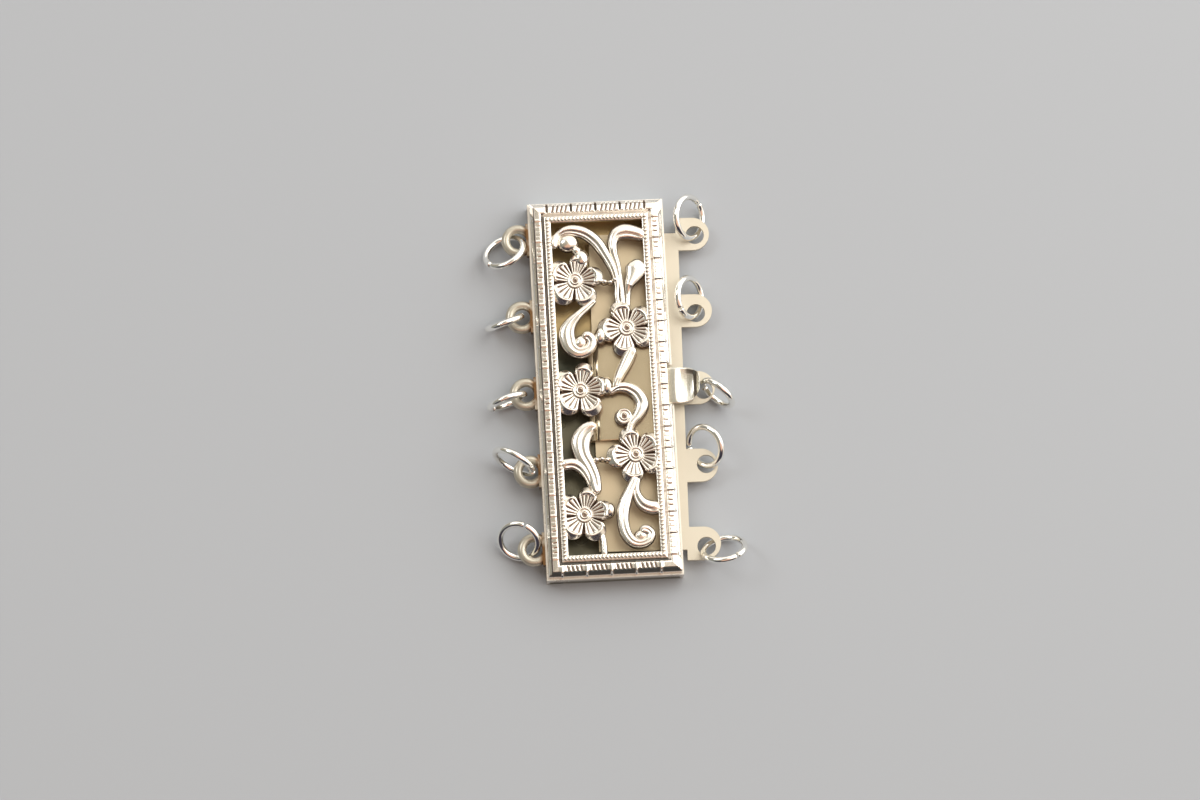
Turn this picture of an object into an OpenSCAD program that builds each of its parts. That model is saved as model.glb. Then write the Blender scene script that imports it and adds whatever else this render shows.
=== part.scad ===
// Box clasp for a five-strand bracelet: a shallow tray with a cast filigree cover,
// a spring tongue that slides in from one side, and a jump ring in every loop.
// Origin: centre of the flat back. +X is the tongue side, +Y along the case, +Z the show face.

/* [Case] */
// Width of the case, from the loop side to the tongue side
case_w = 11.1; // [10.8:0.1:12]
// Length of the case
case_l = 31.3; // [31:0.1:34]
// Height of the tray wall
wall_h = 1.7; // [1.68:0.01:1.75]
// Thickness of the tray wall
wall_t = 0.3; // [0.25:0.01:0.32]
// Thickness of the back plate
back_t = 0.35; // [0.3:0.01:0.4]

/* [Cover] */
// Height of the ridged band above the back
band_z = 2.6; // [2.55:0.01:2.7]
// Height of the cover's underside above the back
under_z = 2.14; // [2.1:0.01:2.2]
// Highest point of the scrolls and petals
relief_z = 2.78; // [2.7:0.01:2.9]
// Width of a raised bar across the band
bar_w = 0.36; // [0.25:0.01:0.5]
// Bars along each long side
long_bars = 17; // [9:2:21]
// Bars along each short side
short_bars = 5; // [3:2:7]
// Spacing of the grains on the inner rim
grain_pitch = 0.39; // [0.36:0.01:0.6]

/* [Tongue] */
// Thickness of the tongue's sheet
sheet_t = 0.35; // [0.3:0.01:0.36]
// Height of the sheet's underside above the back
sheet_z = 0.68; // [0.66:0.01:0.7]
// How far the tongue sits askew in its slot, in degrees
skew = 1.2; // [0:0.1:1.4]
// Half the width of the sprung upper leaf
leaf_half = 4.3; // [3.5:0.1:4.4]
// Slope of the sprung leaf, in degrees
leaf_rise = 4.9; // [4.6:0.1:5]

/* [Loops and rings] */
// Distance between neighbouring strands
strand_pitch = 6.43; // [6.3:0.01:6.45]
// Radius of the wire of the round loops
loop_wire_r = 0.36; // [0.3:0.01:0.38]
// Radius of the round loops at the wire's centre
loop_r = 1.0; // [0.95:0.01:1.05]
// Radius of the flat loops on the tongue
tab_r = 1.37; // [1.3:0.01:1.4]
// Radius of the hole in a flat loop
hole_r = 0.75; // [0.68:0.01:0.76]
// Radius of a jump ring's wire
ring_wire_r = 0.26; // [0.22:0.01:0.27]

/* [Hidden] */
half_w = case_w / 2;
half_l = case_l / 2;
eps = 0.01;
// The slot in the front wall, and the higher gap that the sprung leaf passes
slot_y = [-13.75, 13.3];
slot_z = [0.58, 1.14];
gap_half = 4.65;
gap_z = 1.54;
// The notch in the wall and the cover's cove for the thumb tab
notch_y = [-1.62, 1.7];
// Round loops: centre outside the wall, and height of the wire's centre
loop_out = 0.87;
loop_z = 1.32;
// Flat loops: centre line in the tongue's own frame
tab_x = 7.63;
tab_pitch = 6.45;
strip_x = 6.45;
plate_y = [-13.4, 13.0];
fold_x = -0.9;
bend_r = 0.05;
bend_z = sheet_z + sheet_t + bend_r;
leaf_z = bend_z + bend_r;
leaf_gap = 0.03;
leaf_end = 4.92;

// tray

module round_loop(y) {
    translate([-half_w - loop_out, y, loop_z])
        intersection() {
            rotate_extrude($fn = 48)
                translate([loop_r, 0])
                    circle(r = loop_wire_r, $fn = 24);
            translate([-3, -3, -1])
                cube([3 + loop_out + wall_t / 2, 6, 2]);
        }
    // Solder fillet against the wall
    translate([-half_w - 0.22, y - 1.35, loop_z - 0.38])
        cube([0.3, 2.7, 0.76]);
}

module box_tray() {
    color("#b9ae98")
        difference() {
            union() {
                translate([-half_w, -half_l, 0])
                    cube([case_w, case_l, wall_h]);
                for (i = [-2:2])
                    round_loop(i * strand_pitch - 0.15);
            }
            // Inside of the tray
            translate([-half_w + wall_t, -half_l + wall_t, back_t])
                cube([case_w - 2 * wall_t, case_l - 2 * wall_t, wall_h]);
            // Slot for the sheet
            translate([half_w - wall_t - eps, slot_y[0], slot_z[0]])
                cube([wall_t + 1, slot_y[1] - slot_y[0], slot_z[1] - slot_z[0]]);
            // Higher gap under the catch
            translate([half_w - wall_t - eps, -gap_half, slot_z[0]])
                cube([wall_t + 1, 2 * gap_half, gap_z - slot_z[0]]);
            // Thumb notch through the lip
            translate([half_w - wall_t - eps, notch_y[0], slot_z[0]])
                cube([wall_t + 1, notch_y[1] - notch_y[0], wall_h]);
        }
}

// cover

// The moulding's section: distance in from the case's outer face, and height
moulding = [
    [0.17, wall_h + 0.02], [0.18, 1.96], [0.25, 2.32], [0.4, band_z - 0.02],
    [0.46, band_z], [1.06, band_z], [1.12, band_z - 0.17], [1.26, band_z - 0.17],
    [1.31, band_z], [1.79, band_z], [1.83, band_z - 0.04],
    [1.83, under_z], [0.66, under_z], [0.44, wall_h + 0.02]];

function corner(k) = [[-1, -1], [1, -1], [1, 1], [-1, 1]][k];
function place(k, p) = [corner(k)[0] * (half_w - p[0]), corner(k)[1] * (half_l - p[0]), p[1]];

module moulding_frame() {
    n = len(moulding);
    points = [for (k = [0:3]) for (p = moulding) place(k, p)];
    faces = [for (k = [0:3]) for (j = [0:n - 1])
        [k * n + j, k * n + (j + 1) % n,
         ((k + 1) % 4) * n + (j + 1) % n, ((k + 1) % 4) * n + j]];
    polyhedron(points, faces, convexity = 8);
}

// A raised bar across the band, built on the side that faces +X at the origin
module bar() {
    hull() {
        translate([-1.1, -bar_w / 2, band_z - 0.12])
            cube([0.75, bar_w, 0.1]);
        translate([-1.06, -bar_w / 2 + 0.1, band_z])
            cube([0.6, bar_w - 0.2, 0.12]);
    }
}

// A short nick in the band, between two bars
module nick() {
    translate([-0.76, 0, band_z + 0.01])
        rotate([45, 0, 0])
            cube([0.44, 0.13, 0.13], center = true);
}

module on_long_sides(step, count) {
    for (s = [0, 180])
        for (i = [0:count - 1])
            rotate([0, 0, s])
                translate([half_w, (i - (count - 1) / 2) * step, 0])
                    children();
}

module on_short_sides(step, count) {
    for (s = [90, 270])
        for (i = [0:count - 1])
            rotate([0, 0, s])
                translate([half_l, (i - (count - 1) / 2) * step, 0])
                    children();
}

// A row of grains along +Y: one small pyramid after another on a common bar
module grain_row(length) {
    n = round(length / grain_pitch);
    step = length / n;
    half = 0.23;
    low = band_z - 0.3;
    edge = band_z + 0.04;
    tip = band_z + 0.2;
    left = [for (i = [0:n]) [-half, i * step - length / 2, edge]];
    right = [for (i = [0:n]) [half, i * step - length / 2, edge]];
    tips = [for (i = [0:n - 1]) [0, (i + 0.5) * step - length / 2, tip]];
    foot = [for (y = [-0.5, 0.5]) for (x = [-half, half]) [x, y * length, low]];
    r = n + 1;
    t = 2 * n + 2;
    f = 3 * n + 2;
    pyramids = [for (i = [0:n - 1]) each [
        [i, i + 1, t + i], [i + 1, r + i + 1, t + i],
        [r + i + 1, r + i, t + i], [r + i, i, t + i]]];
    left_wall = [concat([for (i = [0:n]) n - i], [f, f + 2])];
    right_wall = [concat([for (i = [0:n]) r + i], [f + 3, f + 1])];
    ends = [[r, f + 1, f, 0], [n, f + 2, f + 3, r + n], [f, f + 1, f + 3, f + 2]];
    polyhedron(concat(left, right, tips, foot), concat(pyramids, left_wall, right_wall, ends), convexity = 10);
}

// scrolls and flowers

// Smooth curve through the hand-set points of a path; each point is [x, y, width]
function blend(a, b, c, d, t) = 0.5 * (2 * b + (c - a) * t
    + (2 * a - 5 * b + 4 * c - d) * t * t + (3 * b - 3 * c + d - a) * t * t * t);
function smooth(path, n) = [for (i = [0:len(path) - 2]) for (s = [0:n - 1])
    blend(path[max(i - 1, 0)], path[i], path[i + 1], path[min(i + 2, len(path) - 1)], s / n),
    path[len(path) - 1]];
function flat(v) = [v[0], v[1]];
function unit(v) = v / norm(v);
function heading(p, i) = unit(flat(p[min(i + 1, len(p) - 1)]) - flat(p[max(i - 1, 0)]));

// Half section of a scroll: share of the width across it, and share of the height
section = [[-0.5, 0], [-0.5, 0.5], [-0.2, 1], [0.2, 1], [0.5, 0.5], [0.5, 0]];

module scroll(path, steps = 2, rise = relief_z - under_z) {
    p = smooth(path, steps);
    n = len(section);
    last = len(p) - 1;
    points = [for (i = [0:last]) for (q = section)
        let (h = heading(p, i), w = p[i][2] * q[0])
        [p[i][0] - h[1] * w, p[i][1] + h[0] * w, under_z + rise * q[1]]];
    sides = [for (i = [0:last - 1]) for (j = [0:n - 1])
        [i * n + j, i * n + (j + 1) % n, (i + 1) * n + (j + 1) % n, (i + 1) * n + j]];
    start = [[for (j = [0:n - 1]) n - 1 - j]];
    end = [[for (j = [0:n - 1]) last * n + j]];
    polyhedron(points, concat(sides, start, end), convexity = 6);
}

// A domed boss, round or drawn out into a leaf
module boss(x, y, rx, ry, turn = 0, top = relief_z) {
    translate([x, y, under_z])
        rotate([0, 0, turn])
            hull() {
                linear_extrude((top - under_z) * 0.6)
                    resize([2 * rx, 2 * ry])
                        circle(1, $fn = 12);
                linear_extrude(top - under_z)
                    resize([rx, ry])
                        circle(1, $fn = 8);
            }
}

// Paths of the scrolls, from the top of the case to the bottom
scrolls = [
    // long S from the top curl down to the second flower
    [[-3.5, 11.7, 0.5], [-3.5, 12.3, 0.6], [-3.1, 12.85, 0.62], [-2.45, 13.15, 0.8], [-1.65, 13.1, 0.95],
     [-0.8, 12.75, 1.0], [0, 12.0, 1.0], [0.6, 10.95, 0.85], [1.06, 10, 0.74], [1.32, 9.1, 0.58],
     [1.4, 8.3, 0.46], [1.35, 7.5, 0.42], [1.45, 6.7, 0.4]],
    // hook at the top right
    [[3.85, 12.35, 0.95], [2.95, 12.75, 1.2], [2.2, 12.85, 1.3], [1.55, 12.6, 1.1], [1.25, 12.0, 0.85],
     [1.3, 11.1, 0.68], [1.55, 10.1, 0.54], [1.7, 9.1, 0.42], [1.8, 8.2, 0.4], [1.82, 7.5, 0.4], [1.85, 6.7, 0.38]],
    // paddle leaf
    [[2.2, 6.5, 0.4], [2.28, 7.5, 0.42], [2.35, 8.3, 0.55], [2.55, 8.8, 1.0], [2.85, 9.3, 1.6],
     [2.95, 9.75, 1.7], [2.98, 10.15, 1.4], [3, 10.5, 0.7]],
    // C scroll below the first flower
    [[-0.4, 7.25, 0.45], [-1.2, 6.6, 0.6], [-1.85, 6.05, 0.7], [-2.5, 5.4, 1.0], [-2.85, 4.75, 1.3],
     [-2.87, 4.1, 1.35], [-2.65, 3.35, 1.15], [-2, 2.87, 1.0], [-1.25, 3.05, 0.9], [-0.87, 3.65, 0.85],
     [-1.15, 4.25, 0.75], [-1.7, 4.3, 0.55]],
    // stem from the second flower
    [[2.5, 3.2, 0.85], [2.05, 2.4, 1.0], [1.65, 1.65, 0.95], [1.25, 0.95, 0.8], [0.95, 0.3, 0.65], [0.75, -0.3, 0.5]],
    // scroll beside the third flower
    [[0.3, -0.6, 0.4], [0.85, -0.25, 0.6], [1.4, -0.15, 0.85], [1.95, -0.27, 0.98], [2.6, -0.8, 1.08],
     [2.9, -1.65, 1.12], [2.5, -2.5, 0.9], [1.95, -3.15, 0.72], [1.6, -4.2, 0.6]],
    // fat leaf on the left
    [[-0.85, -3.45, 0.6], [-1.3, -3.35, 1.1], [-1.85, -3.75, 1.45], [-2.25, -4.5, 1.6], [-2.15, -5.55, 1.4],
     [-1.7, -6.5, 1.25], [-1.35, -7.4, 1.12], [-1.2, -8.2, 0.95], [-1.1, -8.9, 0.7]],
    // branch to the rim
    [[-1.6, -8.3, 0.4], [-1.95, -7.4, 0.45], [-2.45, -6.7, 0.6], [-3.05, -6.35, 0.75], [-3.9, -6.6, 0.75]],
    // J scroll at the lower right
    [[2.1, -7.5, 0.7], [1.75, -8.2, 0.8], [1.4, -8.9, 0.9], [1.1, -9.6, 1.05], [0.88, -10.4, 1.05],
     [0.84, -11.3, 1.0], [1, -12.15, 1.0], [1.45, -12.85, 0.9], [2.1, -13.1, 0.78], [2.75, -12.9, 0.75],
     [3.05, -12.35, 0.75], [2.7, -11.93, 0.7], [2.15, -11.98, 0.55]],
    // leaf branch to the right rim
    [[2.25, -7.6, 0.5], [2.05, -8.5, 0.6], [2.1, -9.2, 0.75], [2.45, -9.8, 0.95], [3.1, -10.12, 1.0], [3.85, -10.2, 0.95]],
    // post down to the bottom rim
    [[-0.9, -12.1, 0.45], [-0.82, -13, 0.54], [-0.82, -14, 0.55]]];

// Bosses: x, y, half length, half width, turn
bosses = [
    [-2.38, 12.17, 0.8, 0.7, 0],
    [-1.38, 10.8, 0.8, 0.66, 110],
    [0.45, 8.6, 0.3, 0.26, 0],
    [0.95, 8.6, 0.3, 0.26, 0],
    [-1.78, 3.75, 0.5, 0.38, 60],
    [-0.15, 4.25, 0.76, 0.52, 80],
    [0.12, 0.06, 0.76, 0.48, 88],
    [1.32, -2.6, 0.72, 0.72, 0],
    [-1.1, -6.05, 0.28, 0.25, 0],
    [-0.62, -6.05, 0.28, 0.25, 0],
    [-0.14, -6.05, 0.28, 0.25, 0],
    [-0.18, -10.22, 0.66, 0.45, 85],
    [2.3, -12.42, 0.48, 0.38, 0]];

// Gaps between a flower's petals, as bearings: the pattern is cast in two positions
upright = [-20, 46, 107, 182, 265];
turned = [5, 73, 141, 222, 295];
// Flowers: x, y, radius, gaps
flowers = [
    [-2.0, 8.88, 2.28, upright],
    [2.0, 4.75, 2.32, turned],
    [-2.05, -0.28, 2.32, upright],
    [2.15, -5.77, 2.3, turned],
    [-2.27, -10.55, 2.3, upright]];

petals = 5;
ribs = 8;
// Share of the radius and share of the height, from the centre to the petal's edge
petal_rings = [[0.36, 0.42], [0.64, 0.64], [0.84, 0.97], [1, 0.6]];

// Outline of one petal, as a share of the flower's radius at angle a from its middle
function petal(a) = 0.61 * cos(a) + sqrt(max(0, 0.152 - pow(0.61 * sin(a), 2)));

// Bearing at a share of the way from gap k to the next
function bearing(gaps, k, share) =
    let (next = k < petals - 1 ? gaps[k + 1] : gaps[0] + 360)
    gaps[k] + (next - gaps[k]) * share;

module flower(x, y, radius, gaps) {
    n = petals * ribs;
    m = len(petal_rings);
    rise = relief_z - under_z;
    ring_points = [for (q = petal_rings) for (i = [0:n - 1])
        let (a = (i % ribs) * 72 / ribs - 36, b = bearing(gaps, floor(i / ribs), (i % ribs) / ribs),
             r = radius * q[0] * (1 + (petal(a) - 1) * q[0] * q[0]),
             cut = i % ribs == 0 ? 0.35 : (i % 2 == 1 && q[0] > 0.3 && q[0] < 0.8 ? 0.08 : 0))
        [r * cos(b), r * sin(b), under_z + rise * max(q[1] - cut, 0.1)]];
    foot = [for (i = [0:n - 1])
        let (p = ring_points[(m - 1) * n + i])
        [p[0] * 0.97, p[1] * 0.97, under_z]];
    points = concat(ring_points, foot);
    sides = [for (k = [0:m - 1]) for (i = [0:n - 1])
        [k * n + i, k * n + (i + 1) % n, (k + 1) * n + (i + 1) % n, (k + 1) * n + i]];
    top = [[for (i = [0:n - 1]) n - 1 - i]];
    bottom = [[for (i = [0:n - 1]) m * n + i]];
    translate([x, y, 0]) {
        polyhedron(points, concat(sides, top, bottom), convexity = 6);
        // Ring and dot at the centre
        translate([0, 0, under_z])
            difference() {
                cylinder(r = 0.52, h = rise, $fn = 14);
                translate([0, 0, rise - 0.2])
                    cylinder(r = 0.32, h = 1, $fn = 8);
            }
        translate([0, 0, under_z + 0.1])
            cylinder(r = 0.15, h = rise - 0.2, $fn = 6);
    }
}

module filigree_cover() {
    color("#d9d0bd")
        difference() {
            union() {
                moulding_frame();
                on_long_sides(1.755, long_bars)
                    bar();
                on_short_sides(2.0, short_bars)
                    bar();
                for (s = [0, 180])
                    rotate([0, 0, s]) {
                        translate([half_w - 1.57, 0, 0])
                            grain_row(case_l - 3.14);
                        rotate([0, 0, 90])
                            translate([half_l - 1.57, 0, 0])
                                grain_row(case_w - 3.14);
                    }
                for (p = scrolls)
                    scroll(p);
                for (b = bosses)
                    boss(b[0], b[1], b[2], b[3], b[4]);
                for (f = flowers)
                    flower(f[0], f[1], f[2], f[3]);
            }
            // Nicks between the bars
            for (k = [-1:1])
                on_long_sides(1.755, long_bars - 1)
                    translate([0, k * 0.39, 0])
                        nick();
            for (k = [-1.5:1.5])
                on_short_sides(2.0, short_bars - 1)
                    translate([0, k * 0.34, 0])
                        nick();
            // Notch in the cove for the thumb tab
            translate([half_w - 0.62, notch_y[0], wall_h - 0.2])
                cube([1, notch_y[1] - notch_y[0], band_z - 0.18 - wall_h + 0.2]);
        }
}

// tongue

// The tongue's own frame, askew in the slot
module askew() {
    rotate([0, 0, -skew])
        children();
}

// Flat loops: strand number, and how far the hole sits off the loop's centre
tab_holes = [[2, 0.2, -0.1], [1, 0.04, -0.23], [0, 0.42, -0.2], [-1, 0.41, 0.08], [-2, 0.19, -0.24]];

module tongue_plate() {
    color("#cdbf9d")
        askew() {
            difference() {
                union() {
                    translate([fold_x, plate_y[0], sheet_z])
                        cube([strip_x - fold_x, plate_y[1] - plate_y[0], sheet_t]);
                    for (h = tab_holes)
                        translate([0, h[0] * tab_pitch, sheet_z]) {
                            translate([strip_x - 0.2, -tab_r, 0])
                                cube([tab_x - strip_x + 0.2, 2 * tab_r, sheet_t]);
                            translate([tab_x, 0, 0])
                                cylinder(r = tab_r, h = sheet_t, $fn = 48);
                        }
                }
                for (h = tab_holes)
                    translate([tab_x + h[1], h[0] * tab_pitch + h[2], sheet_z - 1])
                        cylinder(r = hole_r, h = 3, $fn = 32);
            }
            // Fold at the tongue's inner edge
            translate([fold_x, 0, bend_z])
                rotate([90, 0, 0])
                    rotate([0, 0, 90])
                        rotate_extrude(angle = 180, $fn = 48)
                            translate([bend_r, -leaf_half])
                                square([sheet_t, 2 * leaf_half]);
        }
}

// Side view of the thumb tab, from the leaf's end to its turned-up lip
tab_side = [[0, 0], [0.98, 0.07], [1.3, 0.02], [1.8, 0], [2.2, 0.1], [2.5, 0.27], [2.68, 0.45], [2.78, 0.42],
    [2.87, 0.3], [2.75, 0.02], [2.4, -0.2], [1.9, -0.32], [1.3, -0.33], [0.98, -0.28], [0, -0.35]];
// Outline of the thumb tab from above
tab_plan = [[4.7, -1.46], [6.0, -1.46], [6.6, -1.42], [6.99, -1.3], [7.35, -0.95], [7.59, -0.6], [7.75, -0.15],
    [7.79, 0.27], [7.75, 0.7], [7.55, 1.12], [7.25, 1.36], [6.8, 1.5], [4.7, 1.53]];

module spring_leaf() {
    slope = tan(leaf_rise);
    top_end = leaf_z + sheet_t + (leaf_end - fold_x) * slope;
    color("#d2c6a8")
        askew() {
            translate([0, leaf_half, 0])
                rotate([90, 0, 0])
                    linear_extrude(2 * leaf_half)
                        polygon([[fold_x + leaf_gap, leaf_z], [leaf_end, top_end - sheet_t],
                            [leaf_end, top_end], [fold_x + leaf_gap, leaf_z + sheet_t]]);
            intersection() {
                translate([leaf_end - 0.02, 2, top_end])
                    rotate([90, 0, 0])
                        linear_extrude(4)
                            polygon(tab_side);
                linear_extrude(5)
                    polygon(tab_plan);
            }
        }
}

// jump rings

// A ring of round wire with a fine cut: outer diameter, centre, tilt, bearing of the tilt, turn of the cut
module jump_ring(d, centre, tilt, bearing, cut) {
    color("#d8d8d4")
        translate(centre)
            rotate([0, tilt, bearing])
                rotate([0, 0, cut])
                    rotate_extrude(angle = 356, $fn = 48)
                        translate([d / 2 - ring_wire_r, 0])
                            circle(r = ring_wire_r, $fn = 24);
}

// Outer diameter, centre, tilt, bearing and cut of each ring; l is the tray's side, r the tongue's
module jump_ring_l1() jump_ring(3.8, [-7.59, 11.84, 1.39], 42, 124, 105);
module jump_ring_l2() jump_ring(3.4, [-7.87, 5.84, 1.71], 77, 109, 260);
module jump_ring_l3() jump_ring(3.5, [-8.0, -0.73, 1.79], 90, 108, 62);
module jump_ring_l4() jump_ring(3.9, [-7.73, -5.85, 2.11], 80, 238, 100);
module jump_ring_l5() jump_ring(3.65, [-7.63, -12.25, 1.46], 42, 245, 180);
module jump_ring_r1() jump_ring(3.9, [7.7, 14.0, 1.56], 49, 349, 60);
module jump_ring_r2() jump_ring(3.7, [7.34, 7.28, 1.52], 50, 353, 225);
module jump_ring_r3() jump_ring(3.4, [9.14, -0.84, 1.72], 80, 229, 300);
module jump_ring_r4() jump_ring(3.75, [7.88, -5.17, 1.48], 47, 208, 330);
module jump_ring_r5() jump_ring(3.9, [8.92, -13.72, 1.59], 50, 102, 205);

box_tray();
filigree_cover();
tongue_plate();
spring_leaf();
jump_ring_l1();
jump_ring_l2();
jump_ring_l3();
jump_ring_l4();
jump_ring_l5();
jump_ring_r1();
jump_ring_r2();
jump_ring_r3();
jump_ring_r4();
jump_ring_r5();
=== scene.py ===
# Box clasp for a five-strand bracelet: flat silver case with a cast openwork cover, a sprung
# tongue that slides in from the right, and a jump ring in each of the ten loops.
# Lengths are in millimetres in the case's own frame until they go into a mesh.
import bmesh
import bpy
import numpy as np
from mathutils import Matrix, Vector


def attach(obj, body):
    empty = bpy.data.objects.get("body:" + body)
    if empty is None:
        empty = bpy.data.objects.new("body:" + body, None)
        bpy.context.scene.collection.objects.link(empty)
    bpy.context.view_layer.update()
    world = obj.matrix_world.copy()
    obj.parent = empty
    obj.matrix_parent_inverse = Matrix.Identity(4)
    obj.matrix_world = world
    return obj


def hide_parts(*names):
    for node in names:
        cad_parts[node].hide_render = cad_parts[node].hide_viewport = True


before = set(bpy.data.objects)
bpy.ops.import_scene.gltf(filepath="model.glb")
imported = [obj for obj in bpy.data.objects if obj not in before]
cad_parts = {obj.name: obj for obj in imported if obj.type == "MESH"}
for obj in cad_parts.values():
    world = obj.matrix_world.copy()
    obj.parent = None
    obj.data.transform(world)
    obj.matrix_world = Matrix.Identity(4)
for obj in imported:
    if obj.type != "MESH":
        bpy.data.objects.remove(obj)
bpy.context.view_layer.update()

# Camera: a long lens almost straight above the clasp, tipped 12 degrees towards its lower end
# and 2.5 degrees to the left, and rolled so that the clasp leans a little to the left.
mm = 0.001
view_tip, view_side, view_roll = np.radians([12.0, 2.5, -3.2])
look_at = Vector((-0.44, -0.88, 1.3))
distance = 400.0
photo_width, pixels_per_mm, sensor_width = 1200, 12.29, 36.0
away = Vector((-np.sin(view_side), -np.sin(view_tip) * np.cos(view_side),
               np.cos(view_tip) * np.cos(view_side)))
level = (-away).cross(Vector((0, 1, 0))).normalized()
upward = level.cross(-away)
right = level * np.cos(view_roll) + upward * np.sin(view_roll)
up = upward * np.cos(view_roll) - level * np.sin(view_roll)
lens = bpy.data.cameras.new("camera")
lens.sensor_width = sensor_width
lens.lens = pixels_per_mm * distance / photo_width * sensor_width
lens.clip_start = 0.01
camera = bpy.data.objects.new("camera", lens)
place = (look_at + away * distance) * mm
camera.matrix_world = Matrix((
    (right.x, up.x, away.x, place.x),
    (right.y, up.y, away.y, place.y),
    (right.z, up.z, away.z, place.z),
    (0, 0, 0, 1)))
bpy.context.scene.collection.objects.link(camera)
bpy.context.scene.camera = camera
bpy.context.scene.view_settings.view_transform = "Standard"


# Cover moulding: the frame of the cover, cast in silver with it and mitred at its corners. It
# stands on the tray's lip, rises in a hollow cove to a band with raised bars and nicks, dips in a
# groove and ends in the flat inner rim that carries the grains.
half_wide, half_long = 5.55, 15.65
under_z = 2.14
long_step, short_step = 1.755, 2.0
notch_y, notch_z = (-1.66, 1.74), 2.43
weld, sliver = 2e-7, 1e-7


def quads(rows, cols, wrap_rows, wrap_cols):
    """Four-sided faces between neighbouring points of a rows by cols grid; a wrapped side joins its ends."""
    i, j = np.meshgrid(np.arange(rows if wrap_rows else rows - 1),
                       np.arange(cols if wrap_cols else cols - 1), indexing="ij")
    down, across = (i + 1) % rows, (j + 1) % cols
    corners = [i * cols + j, i * cols + across, down * cols + across, down * cols + j]
    return np.stack(corners, -1).reshape(-1, 4)


def volume(points, faces):
    """Signed volume inside quads: each is two triangles, and a triangle adds a . (b x c) / 6."""
    a, b, c, d = (points[faces[:, k]] for k in range(4))
    return (np.einsum("ij,ij->i", a, np.cross(b, c)) + np.einsum("ij,ij->i", a, np.cross(c, d))).sum() / 6


def build(name, grids, material, body, slot, *nodes):
    """One mesh from closed grids of points (rows, cols, 4), turned to face outwards. The fourth value is how
    dark the point is coloured, for its depth in a recess and for painted shade: 0 clean, 1 brown, 2 slate
    painted shade. Each grid is (points, wrap_rows, wrap_cols)."""
    points, faces, depth, start = [], [], [], 0
    for grid, wrap_rows, wrap_cols in grids:
        rows, cols = grid.shape[:2]
        flat = grid.reshape(rows * cols, 4)
        cells = quads(rows, cols, wrap_rows, wrap_cols)
        if volume(flat[:, :3] - flat[:, :3].mean(0), cells) < 0:
            cells = cells[:, ::-1]
        points.append(flat[:, :3])
        depth.append(flat[:, 3])
        faces.append(cells + start)
        start += len(flat)
    points, faces, depth = np.concatenate(points) * mm, np.concatenate(faces), np.concatenate(depth)
    mesh = bpy.data.meshes.new(name)
    mesh.vertices.add(len(points))
    mesh.vertices.foreach_set("co", points.ravel())
    mesh.loops.add(faces.size)
    mesh.loops.foreach_set("vertex_index", faces.ravel().astype(np.int32))
    mesh.polygons.add(len(faces))
    mesh.polygons.foreach_set("loop_start", (np.arange(len(faces)) * 4).astype(np.int32))
    mesh.update(calc_edges=True)
    mesh.attributes.new("recess", "FLOAT", "POINT").data.foreach_set("value", depth.astype(np.float32))
    shell = bmesh.new()
    shell.from_mesh(mesh)
    bmesh.ops.remove_doubles(shell, verts=shell.verts, dist=weld)
    bmesh.ops.dissolve_degenerate(shell, edges=shell.edges, dist=sliver)
    shell.to_mesh(mesh)
    shell.free()
    mesh.polygons.foreach_set("use_smooth", np.ones(len(mesh.polygons), bool))
    mesh.materials.append(material)
    piece = bpy.data.objects.new(name, mesh)
    bpy.context.scene.collection.objects.link(piece)
    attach(piece, body)
    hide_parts(*nodes)


def wired(tree, kind, inputs, mode=None):
    """A new shader node; each of its inputs, by name or number, takes a value or a link. Mode is the operation
    of a Math or VectorMath node, the data type of a Mix and the interpolation of a MapRange."""
    node = tree.nodes.new("ShaderNode" + kind)
    if mode and kind in ("Math", "VectorMath"):
        node.operation = mode
    elif mode and kind == "Mix":
        node.data_type = mode
    elif mode:
        node.interpolation_type = mode
    for key, value in inputs.items():
        if isinstance(value, bpy.types.NodeSocket):
            tree.links.new(value, node.inputs[key])
        else:
            node.inputs[key].default_value = value
    return node


cloud_spread = 0.1


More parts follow.
